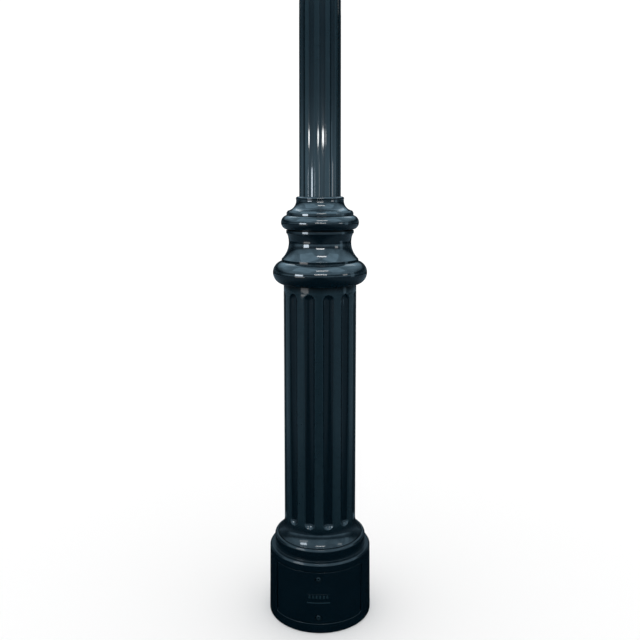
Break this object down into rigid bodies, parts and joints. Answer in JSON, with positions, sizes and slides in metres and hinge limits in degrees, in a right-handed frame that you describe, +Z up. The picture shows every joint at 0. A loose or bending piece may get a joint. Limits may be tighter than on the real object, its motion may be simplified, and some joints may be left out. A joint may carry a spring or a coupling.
{
  "type": "street clock post",
  "caption": "Round fluted pedestal and shaft that carry a street clock, with moulded collars, a curved access door, a wiring compartment and a head flange.",
  "frame": {"origin": "on the ground, at the middle of the round base's underside", "axes": "+Z up along the post; the access door faces -Y; +X is to the right when facing the door"},
  "size_m": [0.4064, 0.4064, 2.4384],
  "materials": {
    "painted_casting": "gloss paint over smooth casting",
    "painted_flange": "gloss paint",
    "screw_steel": "painted over, worn at the socket",
    "spring_steel": "bright",
    "zinc_steel": "zinc plated",
    "black_rubber": "matt",
    "box_plastic": "fine moulded texture",
    "breaker_plastic": "satin",
    "toggle_plastic": "satin",
    "terminal_plastic": "satin",
    "nylon": "satin",
    "brass": "machined"
  },
  "bodies": {
    "post": {"base_casting": "painted_casting", "pedestal_column": "painted_casting", "lower_collar": "painted_casting", "upper_collar": "painted_casting", "main_shaft": "painted_casting", "shaft_foot_flange": "painted_flange", "head_flange": "painted_flange", "collar_set_screws": "screw_steel", "pedestal_bolts": "zinc_steel", "pedestal_washers": "zinc_steel", "shaft_flange_bolts": "zinc_steel", "shaft_flange_washers": "zinc_steel", "terminal_bracket": "zinc_steel", "bracket_screws": "zinc_steel", "box_screws": "zinc_steel", "lid_hinge_pin": "zinc_steel", "din_rail": "zinc_steel", "shaft_foot_grommet": "black_rubber", "head_grommet": "black_rubber", "lid_gasket": "black_rubber", "terminal_box": "box_plastic", "breaker_body": "breaker_plastic", "terminal_blocks": "terminal_plastic", "cable_glands": "nylon", "gland_locknuts": "nylon", "earth_lug": "brass", "earth_lug_screws": "brass"},
    "door": {"access_door": "painted_casting", "door_gasket": "black_rubber"},
    "top_screw": {"door_top_screw": "screw_steel", "top_screw_retainer": "spring_steel"},
    "bottom_screw": {"door_bottom_screw": "screw_steel", "bottom_screw_retainer": "spring_steel"},
    "lid": {"terminal_lid": "box_plastic"},
    "toggle": {"breaker_toggle": "toggle_plastic"}
  },
  "joints": [
    {"name": "door_pull", "type": "slide", "parent": "post", "child": "door", "axis": [0, -1, 0], "range_m": [0, 0.15]},
    {"name": "top_screw_turn", "type": "hinge", "parent": "door", "child": "top_screw", "pos_m": [0, -0.2, 0.222], "axis": [0, -1, 0], "continuous": true},
    {"name": "bottom_screw_turn", "type": "hinge", "parent": "door", "child": "bottom_screw", "pos_m": [0, -0.2, 0.065], "axis": [0, -1, 0], "continuous": true},
    {"name": "lid_swing", "type": "hinge", "parent": "post", "child": "lid", "pos_m": [-0.07, 0.03915, 0.145], "axis": [0, 0, -1], "range_deg": [0, 110]},
    {"name": "toggle_throw", "type": "hinge", "parent": "post", "child": "toggle", "pos_m": [0.023, 0.0545, 0.145], "axis": [1, 0, 0], "range_deg": [0, 76]}
  ]
}
